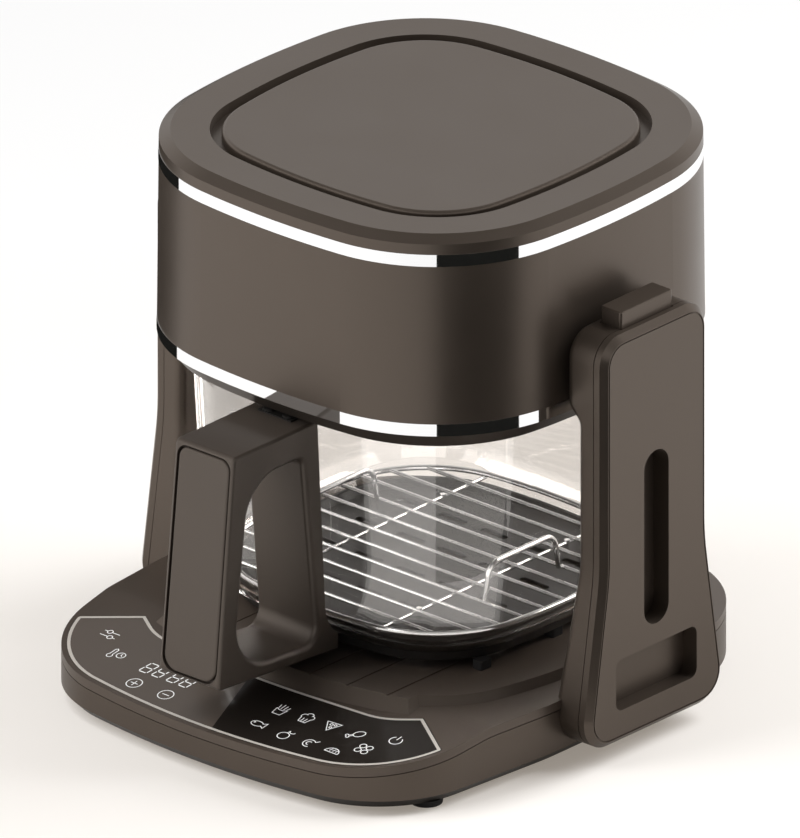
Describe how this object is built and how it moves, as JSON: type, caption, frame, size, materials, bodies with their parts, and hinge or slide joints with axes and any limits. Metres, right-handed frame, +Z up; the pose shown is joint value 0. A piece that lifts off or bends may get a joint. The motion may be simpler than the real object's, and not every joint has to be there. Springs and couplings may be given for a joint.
{
  "type": "hot-air cooker",
  "caption": "Counter-top hot-air cooker: square heating head on two side arms over a glass bowl with a loop handle, which slides out of a low base with a sloping touch panel.",
  "frame": {"origin": "on the counter, at the middle of the bounding box's bottom", "axes": "+X to the right seen from the front, +Y to the back, +Z up"},
  "size_m": [0.328, 0.331, 0.3191],
  "materials": {
    "shell": "fine matte, warm grey",
    "bright": "mirror",
    "panel": "gloss black",
    "glass": "clear",
    "black_plastic": "satin black",
    "rubber": "matte",
    "steel": "brushed",
    "wire": "plated",
    "shield": "pressed sheet",
    "element": "oxidised",
    "motor": "satin",
    "coated": "non-stick coating",
    "board": "solder mask"
  },
  "bodies": {
    "frame": {"base_tray": "shell", "base_cover": "shell", "touch_panel": "panel", "control_board": "board", "power_board": "board", "feet": "rubber", "base_screws": "steel", "cord_gland": "black_plastic", "right_arm_shell": "shell", "left_arm_shell": "shell", "right_arm_cover": "shell", "left_arm_cover": "shell", "arm_screws": "steel", "right_button_spring": "steel", "left_button_spring": "steel"},
    "right_key": {"right_button": "shell"},
    "left_key": {"left_button": "shell"},
    "head": {"head_housing": "shell", "top_cover": "shell", "lid_plate": "shell", "upper_band": "bright", "lower_band": "bright", "skirt_ring": "shell", "heat_shield": "shield", "heating_element": "element", "heater_guard": "steel", "fan_motor": "motor", "motor_bracket": "steel", "head_screws": "steel"},
    "fan": {"fan_shaft": "steel", "hot_air_fan": "shield", "cooling_fan": "black_plastic"},
    "bowl": {"glass_bowl": "glass", "bowl_ring": "black_plastic", "bowl_pads": "rubber", "handle_body": "shell", "handle_cover": "shell", "handle_clip": "steel", "handle_screws": "steel", "crisper_tray": "coated"},
    "rack": {"grill_rack": "wire"}
  },
  "joints": [
    {"name": "bowl_slide", "type": "slide", "parent": "frame", "child": "bowl", "axis": [0, -1, 0], "range_m": [0, 0.26]},
    {"name": "rack_lift", "type": "slide", "parent": "bowl", "child": "rack", "axis": [0, 0, 1], "range_m": [0, 0.1]},
    {"name": "head_lift", "type": "slide", "parent": "frame", "child": "head", "axis": [0, 0, 1], "range_m": [0, 0.2]},
    {"name": "fan_spin", "type": "hinge", "parent": "head", "child": "fan", "pos_m": [0, 0.03158, 0.216], "axis": [0, 0, 1], "continuous": true},
    {"name": "right_button_press", "type": "slide", "parent": "frame", "child": "right_key", "axis": [0, 0, -1], "range_m": [0, 0.004], "stiffness_N_per_m": 800, "deforming": ["right_button_spring"]},
    {"name": "left_button_press", "type": "slide", "parent": "frame", "child": "left_key", "axis": [0, 0, -1], "range_m": [0, 0.004], "stiffness_N_per_m": 800, "deforming": ["left_button_spring"]}
  ]
}
